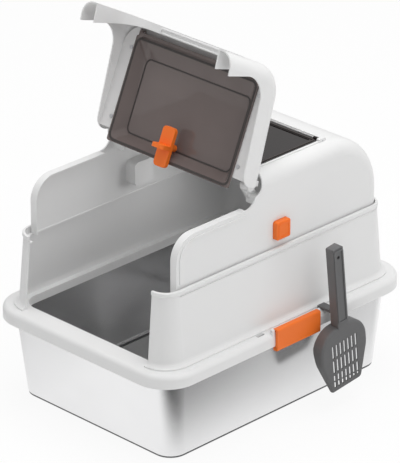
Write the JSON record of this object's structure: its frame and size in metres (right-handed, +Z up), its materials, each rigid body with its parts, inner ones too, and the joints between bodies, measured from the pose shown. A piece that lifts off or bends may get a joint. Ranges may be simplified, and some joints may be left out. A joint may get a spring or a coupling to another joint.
{
  "type": "enclosed litter box",
  "caption": "Enclosed litter box with a steel pan, clamped rim, fence, hood with tinted windows, swing-up lid and a sieve scoop hung on its side.",
  "frame": {"origin": "middle of the pan's flat underside", "axes": "+Z up, the entry faces -Y, +X towards the side that carries the scoop"},
  "size_m": [0.4732, 0.6, 0.6841],
  "materials": {
    "white_plastic": "satin moulded",
    "pan_steel": "satin pressed",
    "tinted_sheet": "clear, smoke tint",
    "accent_plastic": "semi-gloss",
    "scoop_plastic": "fine matt",
    "pin_steel": "turned"
  },
  "bodies": {
    "base": {"litter_pan": "pan_steel", "rim_frame": "white_plastic", "lower_fence": "white_plastic", "upper_hood": "white_plastic", "hood_hinge_arm_right": "white_plastic", "hood_hinge_arm_left": "white_plastic", "lid_hinge_pin_right": "pin_steel", "lid_hinge_pin_left": "pin_steel", "rear_window_pin_right": "pin_steel", "rear_window_pin_left": "pin_steel", "side_latch_pin_right": "pin_steel", "side_latch_pin_left": "pin_steel", "button_housing_right": "white_plastic", "button_housing_left": "white_plastic", "button_spring_right": "pin_steel", "button_spring_left": "pin_steel"},
    "lid": {"lid_frame": "white_plastic", "lid_liner": "white_plastic", "front_window_pin_right": "pin_steel", "front_window_pin_left": "pin_steel"},
    "tray_window": {"front_window": "tinted_sheet"},
    "turn_latch": {"window_latch": "accent_plastic", "window_latch_collar": "accent_plastic"},
    "roof_window": {"rear_window": "tinted_sheet"},
    "clamp_right": {"side_latch_right": "accent_plastic"},
    "clamp_left": {"side_latch_left": "accent_plastic"},
    "button_right": {"hood_button_right": "accent_plastic"},
    "button_left": {"hood_button_left": "accent_plastic"},
    "scoop": {"litter_scoop": "scoop_plastic"}
  },
  "joints": [
    {"name": "lid_hinge", "type": "hinge", "parent": "base", "child": "lid", "pos_m": [0, -0.051, 0.431], "axis": [-1, 0, 0], "range_deg": [-107, 0]},
    {"name": "tray_window_hinge", "type": "hinge", "parent": "lid", "child": "tray_window", "pos_m": [0, -0.00162, 0.60413], "axis": [-1, 0, 0], "range_deg": [0, 75]},
    {"name": "turn_latch_pivot", "type": "hinge", "parent": "tray_window", "child": "turn_latch", "pos_m": [-0.008, -0.06861, 0.45225], "axis": [0, 0.915, -0.4035], "range_deg": [0, 90]},
    {"name": "roof_window_hinge", "type": "hinge", "parent": "base", "child": "roof_window", "pos_m": [0, 0.138, 0.449], "axis": [-1, 0, 0], "range_deg": [0, 100]},
    {"name": "clamp_right_hinge", "type": "hinge", "parent": "base", "child": "clamp_right", "pos_m": [0.212, 0.01, 0.1782], "axis": [0, -1, 0], "range_deg": [0, 12]},
    {"name": "clamp_left_hinge", "type": "hinge", "parent": "base", "child": "clamp_left", "pos_m": [-0.212, 0.01, 0.1782], "axis": [0, 1, 0], "range_deg": [0, 95]},
    {"name": "button_right_press", "type": "slide", "parent": "base", "child": "button_right", "axis": [-1, 0, 0], "range_m": [0, 0.004], "stiffness_N_per_m": 400, "springref_m": -0.002},
    {"name": "button_left_press", "type": "slide", "parent": "base", "child": "button_left", "axis": [1, 0, 0], "range_m": [0, 0.004], "stiffness_N_per_m": 400, "springref_m": -0.002},
    {"name": "scoop_lift", "type": "slide", "parent": "base", "child": "scoop", "axis": [0, 0, 1], "range_m": [0, 0.15]}
  ]
}
